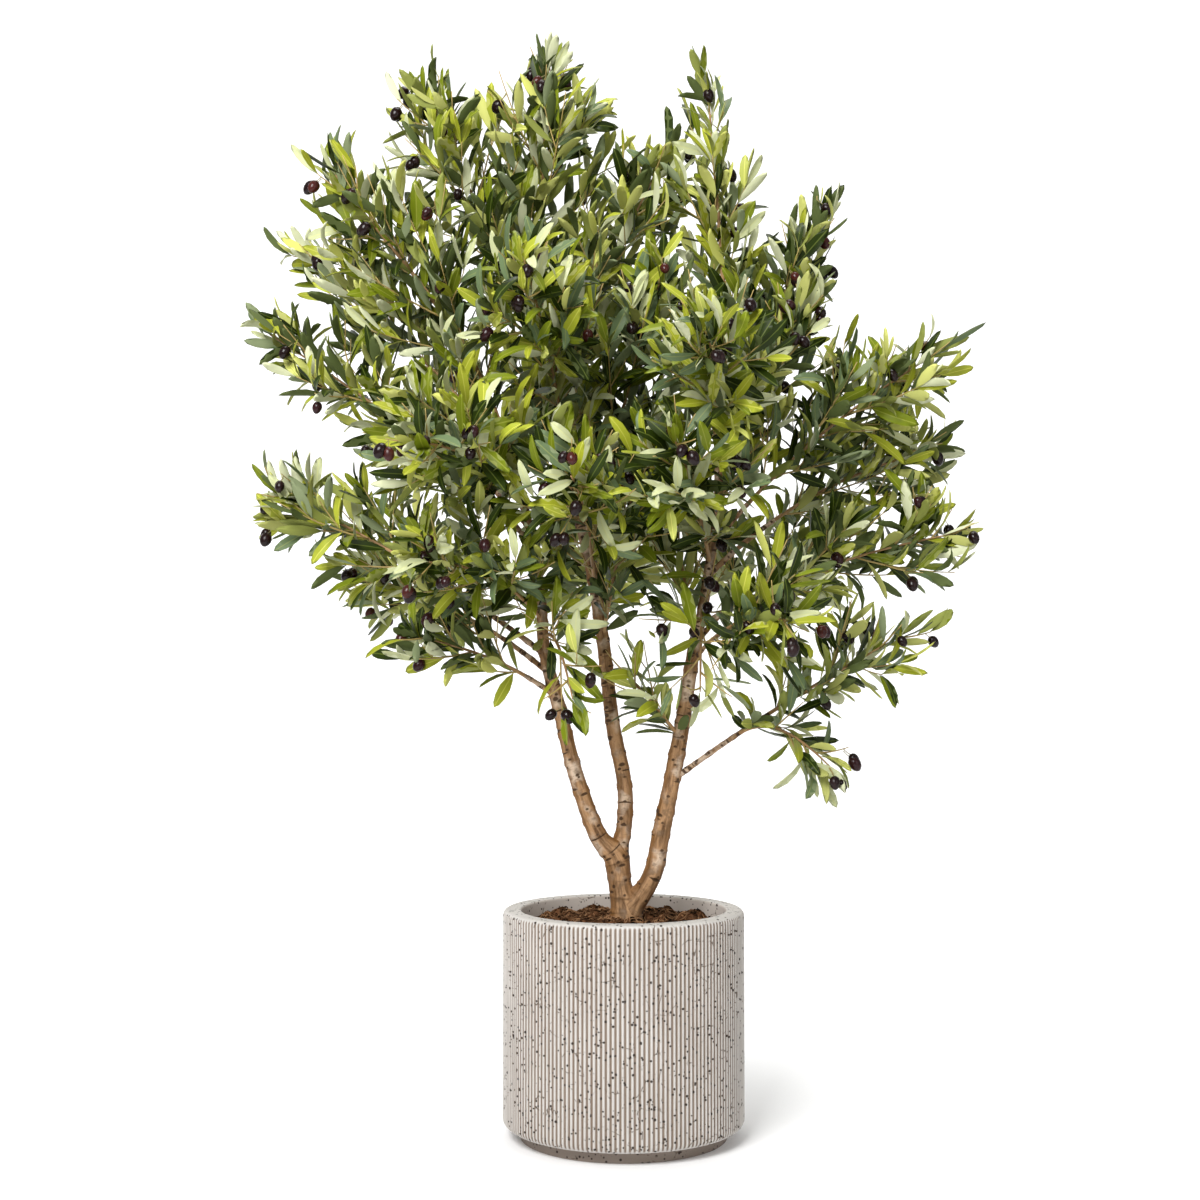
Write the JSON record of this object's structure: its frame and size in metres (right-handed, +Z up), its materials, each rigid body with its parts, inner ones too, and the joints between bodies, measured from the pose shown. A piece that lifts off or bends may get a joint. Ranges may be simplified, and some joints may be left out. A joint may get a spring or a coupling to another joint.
{
  "type": "potted olive tree",
  "caption": "Young olive tree with forking grey-brown stems and an airy silver-green crown with dark olives, in a squat cylindrical planter with fine upright ribs.",
  "frame": {"origin": "middle of the flat underside of the planter's foot", "axes": "+Z up along the tree, -Y towards the front, +X to the right as seen from the front"},
  "size_m": [1.178, 0.9472, 1.766],
  "materials": {
    "pot": "matt unglazed ribbed stoneware, off-white with small brown specks",
    "soil": "dark brown fibrous potting soil",
    "bark": "smooth young grey-brown bark with small rings and scars",
    "foliage": "leathery leaves, satin green above and silver-green below"
  },
  "bodies": {
    "root": {"back_high": "foliage", "back_low": "foliage", "back_low_bough": "bark", "back_mid": "foliage", "back_mid_bough": "bark", "between": "foliage", "centre_stem": "bark", "crest_left": "foliage", "crest_left_bough": "bark", "crest_mid": "foliage", "crest_right": "foliage", "front_high": "foliage", "front_mid": "foliage", "heart": "foliage", "heart_low": "foliage", "inner_sprig": "foliage", "left_crest": "foliage", "left_high": "foliage", "left_high_bough": "bark", "left_inner": "foliage", "left_low": "foliage", "left_low_back": "foliage", "left_low_back_bough": "bark", "left_low_bough": "bark", "left_low_front": "foliage", "left_mid": "foliage", "left_mid_back": "foliage", "left_mid_back_bough": "bark", "left_mid_bough": "bark", "left_mid_front": "foliage", "left_skirt": "foliage", "left_skirt_bough": "bark", "left_stem": "bark", "low_right_spray": "foliage", "pot": "pot", "right_crest": "foliage", "right_high": "foliage", "right_inner": "foliage", "right_low_back": "foliage", "right_low_back_bough": "bark", "right_low_far": "foliage", "right_low_far_bough": "bark", "right_low_front": "foliage", "right_low_front_bough": "bark", "right_mid": "foliage", "right_mid_bough": "bark", "right_mid_front": "foliage", "right_mid_low": "foliage", "right_mid_low_bough": "bark", "right_skirt": "foliage", "right_skirt_bough": "bark", "right_stem": "bark", "right_upper": "foliage", "right_upper_back": "foliage", "right_upper_back_bough": "bark", "right_upper_bough": "bark", "right_upper_front": "foliage", "right_upper_front_bough": "bark", "soil": "soil", "trunk": "bark"}
  },
  "joints": []
}
